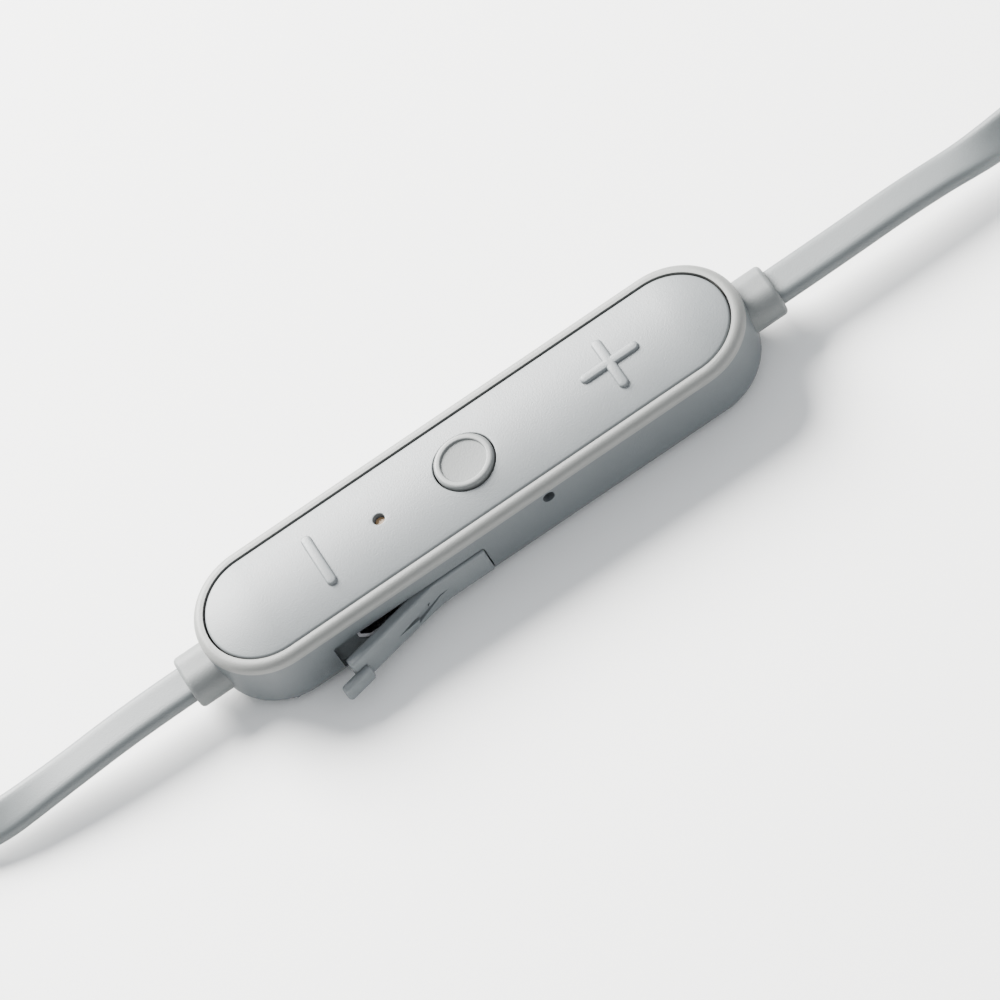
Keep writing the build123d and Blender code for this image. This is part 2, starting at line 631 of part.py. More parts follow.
def earbud_pieces():
    """The pieces of one earbud, on the X axis with the cable's end at the origin."""
    half_joint = 0.6
    inner = BARREL_RADIUS - SHELL
    lip = BARREL_RADIUS - SHELL / 2
    rear = turned(
        (REAR_START, 0), (REAR_START, 4.3), (REAR_START + 0.9, 5.4), (REAR_START + 2.0, BARREL_RADIUS),
        (FRONT_START, BARREL_RADIUS), (FRONT_START, lip), (FRONT_START - half_joint, lip),
        (FRONT_START - half_joint, inner), (REAR_START + 2.0, inner), (REAR_START + SHELL, 4.0),
        (REAR_START + SHELL, 0),
    )
    front = turned(
        (FRONT_START - half_joint, inner), (FRONT_START - half_joint, lip - SLIP), (FRONT_START, lip - SLIP),
        (FRONT_START, BARREL_RADIUS), (FRONT_START + 2.4, BARREL_RADIUS), (FRONT_START + 4.0, 4.9),
        (FRONT_END, 3.4), (FRONT_END, NOZZLE_RADIUS), (NOZZLE_END, NOZZLE_RADIUS), (NOZZLE_END, 1.7),
        (FRONT_END - 0.6, 1.7), (FRONT_START + 3.2, 4.0), (FRONT_START + 1.9, inner - 0.15),
        (FRONT_START + 1.9, inner),
    )
    driver_back = FRONT_START - 1.4
    frame = turned(
        (driver_back, 3.1), (driver_back, DRIVER_RADIUS), (driver_back + 2.6, DRIVER_RADIUS),
        (driver_back + 2.6, 4.2), (driver_back + 0.5, 4.2), (driver_back + 0.5, 3.1),
    )
    magnet_x = (driver_back - 0.7, driver_back + 1.3)
    magnet = turned((magnet_x[0], 0), (magnet_x[0], 3.0), (magnet_x[1], 3.0), (magnet_x[1], 0))
    diaphragm = turned(
        (driver_back + 1.7, 0), (driver_back + 1.7, 1.6), (driver_back + 1.5, 1.6),
        (driver_back + 1.5, 2.0), (driver_back + 1.7, 2.0), (driver_back + 2.0, 4.1),
        (driver_back + 2.1, 4.1), (driver_back + 1.9, 2.0), (driver_back + 2.1, 0),
    )
    mesh_x = (NOZZLE_END - 0.5, NOZZLE_END - 0.3)
    mesh = turned((mesh_x[0], 0), (mesh_x[0], 1.65), (mesh_x[1], 1.65), (mesh_x[1], 0))
    boot = turned((0, 0), (0, BOOT_RADII[0]), (BOOT_LENGTH, BOOT_RADII[1]), (BOOT_LENGTH, 0))
    tip_back = FRONT_END + TIP_GAP
    tip_front = tip_back + TIP_LENGTH - TIP_GAP - 1.0
    bore = NOZZLE_RADIUS + TIP_BORE_CLEARANCE
    tip = turned(
        (tip_back, bore), (tip_back, TIP_CORE_RADIUS), (tip_front - 1.6, TIP_CORE_RADIUS),
        (tip_back + 2.2, TIP_RADIUS - TIP_SKIN - 0.2), (tip_back + 0.5, TIP_RADIUS - TIP_SKIN),
        (tip_back + 0.5, TIP_RADIUS - 0.1), (tip_back + 1.5, TIP_RADIUS), (tip_back + 3.0, 5.6),
        (tip_back + 4.6, 4.9), (tip_front - 0.4, 4.0), (tip_front, 3.2), (tip_front, 2.0),
        (tip_front - 0.9, 2.0), (tip_front - 0.9, bore),
    )
    return {
        "cable_boot": boot,
        "rear_housing": rear,
        "front_housing": front,
        "driver_frame": frame,
        "driver_magnet": magnet,
        "diaphragm": diaphragm,
        "nozzle_mesh": mesh,
        "ear_tip": tip,
    }


# ---------------------------------------------------------------- cables


def left_hank():
    """The outer shape of the wound cable: a flat ring, cut back for the cable's ends and the ties."""
    middle = (HANK_LEFT_X + HANK_RIGHT_X) / 2
    run = HANK_RIGHT_X - HANK_LEFT_X
    ring = slab(run + 2 * HANK_OUTER, 2 * HANK_OUTER, (0, HANK_HEIGHT), middle)
    ring -= slab(run + 2 * HANK_INNER, 2 * HANK_INNER, (-1, HANK_HEIGHT + 1), middle)
    beside = CABLE_THICKNESS / 2 + 2 * SLIP
    inside_bend = 0.9 * CABLE_THICKNESS
    outwards = HANK_OUTER - HANK_INNER + 2 * CABLE_THICKNESS
    ring -= room_along(LEFT_ROUTE[-1], LEFT_ROUTE[-2], outwards, inside_bend)
    ring -= room_along(LEFT_ROUTE[-2], LEFT_ROUTE[-3], outwards, inside_bend)
    ring -= room_along(TAIL_ROUTE[0], TAIL_ROUTE[1], beside, beside)
    return ring - tie(-1) - tie(1)


def tie(side):
    """A soft strap round one side of the hank."""
    y = sorted((side * (HANK_INNER - TIE_THICKNESS), side * (HANK_OUTER + TIE_THICKNESS)))
    hole = sorted((side * HANK_INNER, side * HANK_OUTER))
    x = (TIE_X - TIE_WIDTH / 2, TIE_X + TIE_WIDTH / 2)
    strap = block(x, y, (0, HANK_HEIGHT + TIE_THICKNESS))
    return strap - block((x[0] - 1, x[1] + 1), hole, (TIE_THICKNESS, HANK_HEIGHT))


# ---------------------------------------------------------------- build

os.makedirs("parts", exist_ok=True)

GREY = (0.76, 0.77, 0.77)
DARK = (0.2, 0.2, 0.22)
METAL = (0.7, 0.7, 0.72)
GREEN = (0.1, 0.4, 0.2)

write(bottom_shell(), "bottom_shell", (0.62, 0.64, 0.65))
write(top_frame(), "top_frame", GREY)
write(button_carrier(), "button_carrier", (0.5, 0.5, 0.5))
write(rocker_plate(), "rocker_plate", (0.8, 0.81, 0.81))
write(light_pipe(), "light_pipe", (0.8, 0.7, 0.5))
write(center_button(), "center_button", (0.84, 0.84, 0.84))

for name, x in (("minus", -SYMBOL_X), ("center", 0.0), ("plus", SYMBOL_X)):
    write(switch_base(x), f"{name}_switch", DARK)
    write(switch_dome(x), f"{name}_dome", METAL)

write(main_pcb(), "main_pcb", GREEN)
write(small_components(), "small_components", (0.6, 0.5, 0.35))
write(on_board((6.8, 11.3), (-1.9, 2.6), 0.65), "bluetooth_chip", DARK)
write(on_board((-25.0, -23.4), (-2.6, 2.6), 0.4), "chip_antenna", (0.85, 0.85, 0.8))
write(on_board((LIGHT_HOLE_X - 0.8, LIGHT_HOLE_X + 0.8), (-0.5, 0.5), 0.6), "led_chip", (0.9, 0.9, 0.7))
write(microphone(), "microphone", METAL)
write(mic_boot(), "mic_boot", DARK)
write(usb_shell(), "usb_shell", METAL)
write(usb_tongue(), "usb_tongue", DARK)
write(usb_contacts(), "usb_contacts", (0.8, 0.65, 0.25))
write(battery_cell(), "battery_cell", (0.75, 0.77, 0.8))
write(battery_pcm(), "battery_pcm", GREEN)
write(battery_pad(), "battery_pad", (0.3, 0.3, 0.3))
write(battery_lead(2.6), "battery_lead_red", (0.7, 0.1, 0.1))
write(battery_lead(1.4), "battery_lead_black", (0.08, 0.08, 0.08))

for name, end in (("left", -1), ("right", 1)):
    write(sleeve(end), f"{name}_sleeve", GREY)
    write(cable_leads(end), f"{name}_leads", (0.7, 0.4, 0.2))

write(port_cover_leaf(), "port_cover_leaf", (0.7, 0.71, 0.71))
write(port_cover_flap(), "port_cover_flap", (0.72, 0.73, 0.73))

for name, route in (("left", TAIL_ROUTE), ("right", RIGHT_ROUTE)):
    for piece, solid in earbud_pieces().items():
        write(at_end_of(route, solid), f"{name}_{piece}", GREY)

for name, route in (("left", LEFT_ROUTE), ("tail", TAIL_ROUTE), ("right", RIGHT_ROUTE)):
    print(name, "route radii", [round(r, 1) for r in route_radii(route)])

tubes = {"left_cord_tail": flat_cable(TAIL_ROUTE, route_radii(TAIL_ROUTE), on_edge=True)}
tubes["left_cord"], tubes["left_cord_turned"] = turned_cable(LEFT_ROUTE, LAST_FLAT)
tubes["right_cord"], tubes["right_cord_turned"] = turned_cable(RIGHT_ROUTE, LAST_FLAT)
section_area = (CABLE_WIDTH - CABLE_THICKNESS) * CABLE_THICKNESS + pi * CABLE_THICKNESS**2 / 4
for name, (tube, length) in tubes.items():
    expected = section_area * length
    print(name, "length", round(length, 1), "volume", round(tube.volume, 1), "expected", round(expected, 1))
    write(tube, name, GREY)

write(left_hank(), "left_hank", GREY)
write(Compound(children=[tie(-1), tie(1)]), "hank_ties", DARK)
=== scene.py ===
import json
from math import atan2, cos, pi, radians, sin, sqrt, tan

import bmesh
import bpy
from mathutils import Matrix, Vector


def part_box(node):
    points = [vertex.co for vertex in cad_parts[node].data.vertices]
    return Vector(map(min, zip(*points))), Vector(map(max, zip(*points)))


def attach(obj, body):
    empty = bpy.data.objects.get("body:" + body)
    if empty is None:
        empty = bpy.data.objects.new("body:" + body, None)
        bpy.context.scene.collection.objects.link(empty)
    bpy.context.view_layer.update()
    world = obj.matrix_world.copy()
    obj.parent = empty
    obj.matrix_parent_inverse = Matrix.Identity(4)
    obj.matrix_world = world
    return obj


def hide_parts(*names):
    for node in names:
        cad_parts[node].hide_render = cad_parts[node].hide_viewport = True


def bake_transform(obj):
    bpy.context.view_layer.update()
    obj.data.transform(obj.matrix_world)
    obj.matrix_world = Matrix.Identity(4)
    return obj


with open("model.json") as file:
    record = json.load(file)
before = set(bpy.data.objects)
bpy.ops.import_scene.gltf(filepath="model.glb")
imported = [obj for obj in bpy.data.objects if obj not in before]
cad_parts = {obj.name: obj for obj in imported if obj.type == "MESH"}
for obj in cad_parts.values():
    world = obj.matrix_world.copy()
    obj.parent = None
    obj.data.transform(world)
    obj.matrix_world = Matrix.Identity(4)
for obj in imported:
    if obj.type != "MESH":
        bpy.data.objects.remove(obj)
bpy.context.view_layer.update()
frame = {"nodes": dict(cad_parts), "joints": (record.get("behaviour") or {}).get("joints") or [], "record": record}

# Neckband earphones: an in-line remote on a flat cable, with an earbud at each end.
# Shapes are worked out in millimetres and turned into metres when a piece is placed.
MM = 0.001


def mm_box(node):
    low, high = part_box(node)
    return low / MM, high / MM


SHELL_HIGH = mm_box("bottom_shell")[1]
FRAME_HIGH = mm_box("top_frame")[1]
PLATE_HIGH = mm_box("rocker_plate")[1]
LEAF_LOW, LEAF_HIGH = mm_box("port_cover_leaf")
SLEEVE_LOW, SLEEVE_HIGH = mm_box("right_sleeve")

BODY_RADIUS = SHELL_HIGH.y
SPAN = SHELL_HIGH.x - BODY_RADIUS
RIM_TOP = FRAME_HIGH.z
CABLE_Z = (SLEEVE_LOW.z + SLEEVE_HIGH.z) / 2
CABLE_WIDTH = 4.0
CABLE_THICKNESS = 1.6
LATHE_SIDES = 72


# ---------------------------------------------------------------- outlines and lofts


def rounded(points, radii, closed=False, steps=5):
    """A 2-D line whose corners are arcs of these radii; a radius of 0 keeps the corner."""
    line = []
    count = len(points)
    for i, radius in enumerate(radii):
        here = Vector(points[i])
        if radius == 0 or (not closed and i in (0, count - 1)):
            line.append(here)
            continue
        arriving = (Vector(points[i - 1]) - here).normalized()
        leaving = (Vector(points[(i + 1) % count]) - here).normalized()
        half = arriving.angle(leaving) / 2
        centre = here + (arriving + leaving).normalized() * radius / sin(half)
        start = here + arriving * radius / tan(half) - centre
        end = here + leaving * radius / tan(half) - centre
        first = atan2(start.y, start.x)
        sweep = (atan2(end.y, end.x) - first + pi) % (2 * pi) - pi
        for k in range(steps + 1):
            angle = first + sweep * k / steps
            line.append(centre + radius * Vector((cos(angle), sin(angle))))
    return line


def stadium(span, radius, ends=24, sides=24):
    """Points round two half circles of this radius, centred at (-span, 0) and (span, 0)."""
    points = []
    for side in (1, -1):
        for k in range(ends + 1):
            angle = pi * k / ends - side * pi / 2
            points.append(Vector((side * span + radius * cos(angle), radius * sin(angle))))
        for k in range(1, sides):
            points.append(Vector((side * span * (1 - 2 * k / sides), side * radius)))
    return points


def loft(rings, closed=False, capped=False):
    """A mesh through rings of the same number of points; rings that shrink to a line or point close it."""
    bm = bmesh.new()
    rows = [[bm.verts.new(p) for p in ring] for ring in rings]
    pairs = list(zip(rows, rows[1:]))
    if closed:
        pairs.append((rows[-1], rows[0]))
    for lower, upper in pairs:
        for i in range(len(lower)):
            bm.faces.new((lower[i - 1], lower[i], upper[i], upper[i - 1]))
    if capped:
        bm.faces.new(rows[0][::-1])
        bm.faces.new(rows[-1])
    bmesh.ops.remove_doubles(bm, verts=bm.verts, dist=1e-5)
    bmesh.ops.dissolve_degenerate(bm, edges=bm.edges, dist=1e-5)
    bmesh.ops.recalc_face_normals(bm, faces=bm.faces)
    return bm


def stadium_loft(profile, span, ends=24, sides=24):
    """A stadium-shaped body about Z from a profile of (radius, height) points."""
    rings = []
    for radius, height in profile:
        rings.append([(p.x, p.y, height) for p in stadium(span, radius, ends, sides)])
    return loft(rings)


def lathe(profile):
    """A body of revolution about X from a profile of (distance along X, radius) points."""
    angles = [2 * pi * k / LATHE_SIDES for k in range(LATHE_SIDES)]
    rings = []
    for x, radius in profile:
        rings.append([(x, radius * cos(a), radius * sin(a)) for a in angles])
    return loft(rings, closed=profile[0][1] > 0)


def rounded_box(low, high, radius, cells):
    """A box with rounded edges whose sides are divided into cells, so that it can be bent."""
    low, high = Vector(low), Vector(high)
    half = (high - low) / 2
    marks = []
    for axis in range(3):
        inner = half[axis] - radius
        count = cells[axis]
        edge = [-half[axis], -inner - radius * 0.62, -inner - radius * 0.3]
        middle = [-inner + 2 * inner * k / count for k in range(count + 1)]
        marks.append(edge + middle + [-m for m in reversed(edge)])
    bm = bmesh.new()
    for axis in range(3):
        a, b = (axis + 1) % 3, (axis + 2) % 3
        for side in (-1, 1):
            grid = []
            for u in marks[a]:
                row = []
                for v in marks[b]:
                    point = Vector((0, 0, 0))
                    point[axis], point[a], point[b] = side * half[axis], u, v
                    core = Vector([max(-half[i] + radius, min(half[i] - radius, point[i])) for i in range(3)])
                    row.append(bm.verts.new(core + (point - core).normalized() * radius + (low + high) / 2))
                grid.append(row)
            for i in range(len(grid) - 1):
                for j in range(len(grid[0]) - 1):
                    bm.faces.new((grid[i][j], grid[i + 1][j], grid[i + 1][j + 1], grid[i][j + 1]))
    bmesh.ops.remove_doubles(bm, verts=bm.verts, dist=1e-5)
    bmesh.ops.recalc_face_normals(bm, faces=bm.faces)
    return bm


def solid(bm, name="tool"):
    """A temporary object, still in millimetres."""
    mesh = bpy.data.meshes.new(name)
    bm.to_mesh(mesh)
    bm.free()
    piece = bpy.data.objects.new(name, mesh)
    bpy.context.scene.collection.objects.link(piece)
    return piece


def carve(piece, tool, operation="DIFFERENCE"):
    """Cuts the tool out of the piece, or joins it, and removes the tool."""
    modifier = piece.modifiers.new("carve", "BOOLEAN")
    modifier.operation = operation
    modifier.solver = "EXACT"
    modifier.object = tool
    seen = piece.evaluated_get(bpy.context.evaluated_depsgraph_get())
    mesh = bpy.data.meshes.new_from_object(seen)
    piece.modifiers.clear()
    piece.data = mesh
    bpy.data.objects.remove(tool)
    return piece


def place(piece, name, body, material, stands_for=(), sharp=32, weighted=False):
    """Turns a piece into metres, shades it smooth, gives it its material and lets it ride."""
    piece.name = name
    piece.data.name = name
    piece.data.transform(Matrix.Scale(MM, 4))
    piece.data.polygons.foreach_set("use_smooth", [True] * len(piece.data.polygons))
    piece.data.set_sharp_from_angle(angle=radians(sharp))
    if weighted:
        modifier = piece.modifiers.new("flat_faces", "WEIGHTED_NORMAL")
        modifier.keep_sharp = True
    piece.data.materials.clear()
    piece.data.materials.append(material)
    if stands_for:
        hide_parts(*stands_for)
    if body:
        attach(piece, body)
    return piece


# ---------------------------------------------------------------- materials


def grained(name, colour, roughness, grain=0.09, bump=0.25, mottle=0.05, metallic=0.0, **inputs):
    """A moulded surface: a fine even grain, slight uneven gloss, and a faint drift of colour."""
    material = bpy.data.materials.new(name)
    material.use_nodes = True
    nodes, links = material.node_tree.nodes, material.node_tree.links
    shader = nodes["Principled BSDF"]
    shader.inputs["Metallic"].default_value = metallic
    for key, value in inputs.items():
        shader.inputs[key.replace("_", " ")].default_value = value
    place_at = nodes.new("ShaderNodeTexCoord")
    to_mm = nodes.new("ShaderNodeVectorMath")
    to_mm.operation = "SCALE"
    to_mm.inputs["Scale"].default_value = 1 / MM
    links.new(place_at.outputs["Object"], to_mm.inputs[0])

    fine = nodes.new("ShaderNodeTexNoise")
    fine.inputs["Scale"].default_value = 1 / grain
    fine.inputs["Detail"].default_value = 3
    links.new(to_mm.outputs[0], fine.inputs["Vector"])
    broad = nodes.new("ShaderNodeTexNoise")
    broad.inputs["Scale"].default_value = 0.22
    broad.inputs["Detail"].default_value = 4
    links.new(to_mm.outputs[0], broad.inputs["Vector"])

    tint = nodes.new("ShaderNodeMix")
    tint.data_type = "RGBA"
    darker = [c * (1 - mottle) for c in colour]
    lighter = [min(1, c * (1 + mottle)) for c in colour]
    tint.inputs["A"].default_value = (*darker, 1)
    tint.inputs["B"].default_value = (*lighter, 1)
    blotch = nodes.new("ShaderNodeMix")
    blotch.inputs["Factor"].default_value = 0.45
    links.new(broad.outputs["Fac"], blotch.inputs["A"])
    links.new(fine.outputs["Fac"], blotch.inputs["B"])
    links.new(blotch.outputs["Result"], tint.inputs["Factor"])
    links.new(tint.outputs["Result"], shader.inputs["Base Color"])

    gloss = nodes.new("ShaderNodeMapRange")
    gloss.inputs["To Min"].default_value = max(0.05, roughness - 0.06)
    gloss.inputs["To Max"].default_value = min(1.0, roughness + 0.06)
    links.new(fine.outputs["Fac"], gloss.inputs["Value"])
    links.new(gloss.outputs["Result"], shader.inputs["Roughness"])

    relief = nodes.new("ShaderNodeBump")
    relief.inputs["Strength"].default_value = bump
    relief.inputs["Distance"].default_value = grain * 0.16 * MM
    links.new(fine.outputs["Fac"], relief.inputs["Height"])
    links.new(relief.outputs["Normal"], shader.inputs["Normal"])
    return material


# The shell's colour is about half as bright as the frame's. This is painted shade: it stands in for the shade on
# the near side wall, which faces away from the key light. The earbuds' rear housings use the same colour.
SHELL_PLASTIC_WITH_PAINTED_SHADE = grained("shell_plastic_with_painted_shade", (0.088, 0.1, 0.106), 0.5, grain=0.15, bump=0.8, mottle=0.14)
FRAME_PLASTIC = grained("frame_plastic", (0.17, 0.174, 0.167), 0.48, grain=0.15, bump=0.7, mottle=0.1)
PLATE_PLASTIC = grained("plate_plastic", (0.145, 0.157, 0.161), 0.46, grain=0.15, bump=0.9, mottle=0.2)
BUTTON_PLASTIC = grained("button_plastic", (0.152, 0.16, 0.158), 0.44, grain=0.1, bump=0.4)
DISH_PLASTIC = grained("dish_plastic", (0.13, 0.138, 0.136), 0.6, grain=0.16, bump=0.9)
SLEEVE_RUBBER = grained("sleeve_rubber", (0.125, 0.134, 0.133), 0.55, grain=0.15, bump=0.8, mottle=0.15)
COVER_RUBBER = grained("cover_rubber", (0.12, 0.134, 0.14), 0.56, grain=0.15, bump=0.8, mottle=0.15)
CABLE_RUBBER = grained("cable_rubber", (0.108, 0.12, 0.122), 0.5, grain=0.15, bump=0.7, mottle=0.15)
TIE_RUBBER = grained("tie_rubber", (0.035, 0.035, 0.038), 0.6, grain=0.15, bump=0.6)
TIP_SILICONE = grained(
    "tip_silicone", (0.62, 0.64, 0.645), 0.38, grain=0.3, bump=0.15,
    Subsurface_Weight=0.25, Subsurface_Scale=0.002,
)
INNER_PLASTIC = grained("inner_plastic", (0.11, 0.075, 0.045), 0.55)
BOARD_GREEN = grained("board_green", (0.01, 0.09, 0.035), 0.35, grain=0.5, bump=0.2)
COMPONENT_CERAMIC = grained("component_ceramic", (0.3, 0.2, 0.12), 0.5)
DARK_PACKAGE = grained("dark_package", (0.015, 0.015, 0.018), 0.45)
ANTENNA_CERAMIC = grained("antenna_ceramic", (0.7, 0.7, 0.62), 0.4)
LIGHT_GUIDE = grained("light_guide", (0.3, 0.19, 0.1), 0.3, grain=0.3, bump=0.1)
LED_PHOSPHOR = grained("led_phosphor", (0.75, 0.62, 0.25), 0.25, grain=0.4)
CAN_STEEL = grained("can_steel", (0.62, 0.62, 0.64), 0.28, grain=0.05, bump=0.2, metallic=1.0)
DARK_RUBBER = grained("dark_rubber", (0.02, 0.02, 0.02), 0.6)
GOLD_CONTACT = grained("gold_contact", (0.86, 0.6, 0.22), 0.22, grain=0.05, bump=0.1, metallic=1.0)
BATTERY_FOIL = grained("battery_foil", (0.62, 0.65, 0.7), 0.3, grain=0.7, bump=0.6, metallic=1.0)
PAD_FOAM = grained("pad_foam", (0.05, 0.05, 0.05), 0.85, grain=0.2, bump=0.9)
LEAD_RED = grained("lead_red", (0.42, 0.02, 0.015), 0.4)
LEAD_BLACK = grained("lead_black", (0.012, 0.012, 0.012), 0.4)
MAGNET_NICKEL = grained("magnet_nickel", (0.55, 0.55, 0.57), 0.25, metallic=1.0)
FILM = grained("film", (0.55, 0.48, 0.3), 0.3)

SLOT_MATERIALS = {
    "shell": SHELL_PLASTIC_WITH_PAINTED_SHADE,
    "frame": FRAME_PLASTIC,
    "plate": PLATE_PLASTIC,
    "button": BUTTON_PLASTIC,
    "inner_plastic": INNER_PLASTIC,
    "circuit_board": BOARD_GREEN,
    "component": COMPONENT_CERAMIC,
    "dark_package": DARK_PACKAGE,
    "antenna": ANTENNA_CERAMIC,
    "light_guide": LIGHT_GUIDE,
    "led": LED_PHOSPHOR,
    "metal_can": CAN_STEEL,
    "dark_rubber": DARK_RUBBER,
    "gold_contact": GOLD_CONTACT,
    "battery_foil": BATTERY_FOIL,
    "foam": PAD_FOAM,
    "lead_red": LEAD_RED,
    "lead_black": LEAD_BLACK,
    "cover_rubber": COVER_RUBBER,
    "sleeve": SLEEVE_RUBBER,
    "cable": CABLE_RUBBER,
    "tie": TIE_RUBBER,
    "magnet": MAGNET_NICKEL,
    "diaphragm": FILM,
    "metal_mesh": CAN_STEEL,
    "ear_tip_silicone": TIP_SILICONE,
}

for part in frame["record"]["subparts"]:
    node = frame["nodes"][part["node"]]
    node.data.materials.clear()
    node.data.materials.append(SLOT_MATERIALS[part["material_slot"]])

for name, width in (("bottom_shell", 0.1), ("top_frame", 0.1)):
    softened = frame["nodes"][name].modifiers.new("soft_edges", "BEVEL")
    softened.width = width * MM
    softened.segments = 3
    softened.limit_method = "ANGLE"
    softened.angle_limit = radians(40)
    softened.harden_normals = False


# ---------------------------------------------------------------- camera, floor and light

CAMERA_DISTANCE = 586 * MM
CAMERA_AZIMUTH = radians(0.34)
CAMERA_ELEVATION = radians(54.44)
CAMERA_ROLL = radians(-33.79)
CAMERA_AIM = Vector((0.744, -5.348, RIM_TOP)) * MM
LENS = 234.2


def aim_camera():
    forward = Vector((
        sin(CAMERA_AZIMUTH) * cos(CAMERA_ELEVATION),
        cos(CAMERA_AZIMUTH) * cos(CAMERA_ELEVATION),
        -sin(CAMERA_ELEVATION),
    ))
    level = Vector((cos(CAMERA_AZIMUTH), -sin(CAMERA_AZIMUTH), 0))
    upright = level.cross(forward)
    right = level * cos(CAMERA_ROLL) + upright * sin(CAMERA_ROLL)
    up = upright * cos(CAMERA_ROLL) - level * sin(CAMERA_ROLL)
    data = bpy.data.cameras.new("camera")
    data.lens = LENS
    data.sensor_width = 36
    data.clip_start = 0.01
    camera = bpy.data.objects.new("camera", data)
    camera.matrix_world = Matrix((right, up, -forward)).transposed().to_4x4()
    camera.location = CAMERA_AIM - forward * CAMERA_DISTANCE
    bpy.context.scene.collection.objects.link(camera)
    bpy.context.scene.camera = camera


def area_light(name, location, size, power, colour=(1, 1, 1)):
    data = bpy.data.lights.new(name, "AREA")
    data.shape = "DISK"
    data.size = size
    data.energy = power
    data.color = colour
    light = bpy.data.objects.new(name, data)
    light.location = location
    light.rotation_euler = (-Vector(location)).to_track_quat("-Z", "Y").to_euler()
    bpy.context.scene.collection.objects.link(light)


def floor_and_light():
    bm = bmesh.new()
    bmesh.ops.create_grid(bm, x_segments=1, y_segments=1, size=3)
    floor = solid(bm, "floor")
    paper = grained("paper", (0.9, 0.9, 0.89), 0.7, grain=0.4, bump=0.15, mottle=0.004)
    floor.data.materials.append(paper)
    area_light("key", (-0.22, 0.74, 0.5), 0.6, 74.0, (1.0, 0.99, 0.97))
    area_light("fill", (0.7, -0.5, 0.7), 0.9, 2.0, (0.93, 0.96, 1.0))
    world = bpy.data.worlds.new("studio")
    world.use_nodes = True
    background = world.node_tree.nodes["Background"]
    background.inputs["Color"].default_value = (0.93, 0.96, 1.0, 1)
    background.inputs["Strength"].default_value = 0.9
    bpy.context.scene.world = world


aim_camera()
floor_and_light()


# ---------------------------------------------------------------- cables

# The routes are given points in metres; the hank's turns between them are worked out.
LEFT_ROUTE = [
    (-0.0322, 0, 0.0035),
    (-0.0380, 0, 0.0035),
    (-0.0465, -0.0001, 0.00275),
    (-0.0555, 0.0, 0.0020),
    (-0.0610, 0.0030, 0.0021),
    (-0.0663, 0.0088, 0.00235),
    (-0.0722, 0.0129, 0.00235),
    (-0.0788, 0.01335, 0.00235),
]
TAIL_ROUTE = [
    (-0.0674, -0.0010, 0.00235),
    (-0.0690, 0.0041, 0.00235),
    (-0.0728, 0.0083, 0.0024),
    (-0.0780, 0.0096, 0.0029),
    (-0.0829, 0.0084, 0.0041),
    (-0.0866, 0.0054, 0.0053),
    (-0.0897, 0.0031, 0.0060),
    (-0.0933, 0.0024, 0.0060),
]
RIGHT_ROUTE = [
    (0.0322, 0, 0.0035),
    (0.0385, 0, 0.0035),
    (0.0475, 0.00015, 0.00355),
    (0.0570, 0.0, 0.0030),
    (0.0660, 0.0024, 0.00235),
    (0.0756, 0.0086, 0.0020),
    (0.0832, 0.0129, 0.0020),
    (0.0900, 0.0134, 0.0020),
    (0.0960, 0.0111, 0.0020),
    (0.1002, 0.0060, 0.0020),
    (0.1012, -0.0004, 0.0023),
    (0.0989, -0.0062, 0.0032),
    (0.0942, -0.0094, 0.0046),
    (0.0886, -0.0096, 0.0060),
    (0.0828, -0.00955, 0.0060),
]
HANK_LEFT_X = -0.112
HANK_RIGHT_X = -0.078
HANK_Z = 0.00235
POINTS_IN_HALF_TURN = 8
TURN_RADII = (0.01335, 0.01165)
LAST_FOLD_RADIUS = 0.0106


def fold(centre_x, centre_y, radius, first, last):
    """Control points of a fold of the hank, set out so that the spline touches its circle."""
    count = max(2, round(POINTS_IN_HALF_TURN * (last - first) / pi))
    step = (last - first) / count
    reach = radius / cos(step / 2)
    angles = [first + step * (k + 0.5) for k in range(count)]
    return [(centre_x + reach * cos(a), centre_y + reach * sin(a), HANK_Z) for a in angles]


def straight(x_from, x_to, y):
    """Control points along a straight run of the hank."""
    return [(x_from + (x_to - x_from) * t, y, HANK_Z) for t in (0.12, 0.38, 0.62, 0.88)]


def hank_turns():
    outer, inner = TURN_RADII
    between = (outer + inner) / 2
    last_y = LAST_FOLD_RADIUS - inner
    points = straight(HANK_RIGHT_X, HANK_LEFT_X, outer)
    points += fold(HANK_LEFT_X, 0, outer, pi / 2, 3 * pi / 2)
    points += straight(HANK_LEFT_X, HANK_RIGHT_X, -outer)
    points += fold(HANK_RIGHT_X, between - outer, between, -pi / 2, pi / 2)
    points += straight(HANK_RIGHT_X, HANK_LEFT_X, inner)
    points += fold(HANK_LEFT_X, 0, inner, pi / 2, 3 * pi / 2)
    points += straight(HANK_LEFT_X, HANK_RIGHT_X, -inner)
    points += fold(HANK_RIGHT_X, last_y, LAST_FOLD_RADIUS, -pi / 2, 0)
    return points


def spline_line(points):
    """The smooth line of a NURBS spline through these control points."""
    curve = bpy.data.curves.new("route", "CURVE")
    curve.dimensions = "3D"
    spline = curve.splines.new("NURBS")
    spline.points.add(len(points) - 1)
    for point, place_at in zip(spline.points, points):
        point.co = (*place_at, 1)
    spline.order_u = 3
    spline.use_endpoint_u = True
    spline.resolution_u = 10
    route = bpy.data.objects.new("route", curve)
    bpy.context.scene.collection.objects.link(route)
    mesh = bpy.data.meshes.new_from_object(route)
    line = [v.co.copy() for v in mesh.vertices]
    bpy.data.objects.remove(route)
    return line


def smoothstep(t):
    t = max(0.0, min(1.0, t))
    return t * t * (3 - 2 * t)


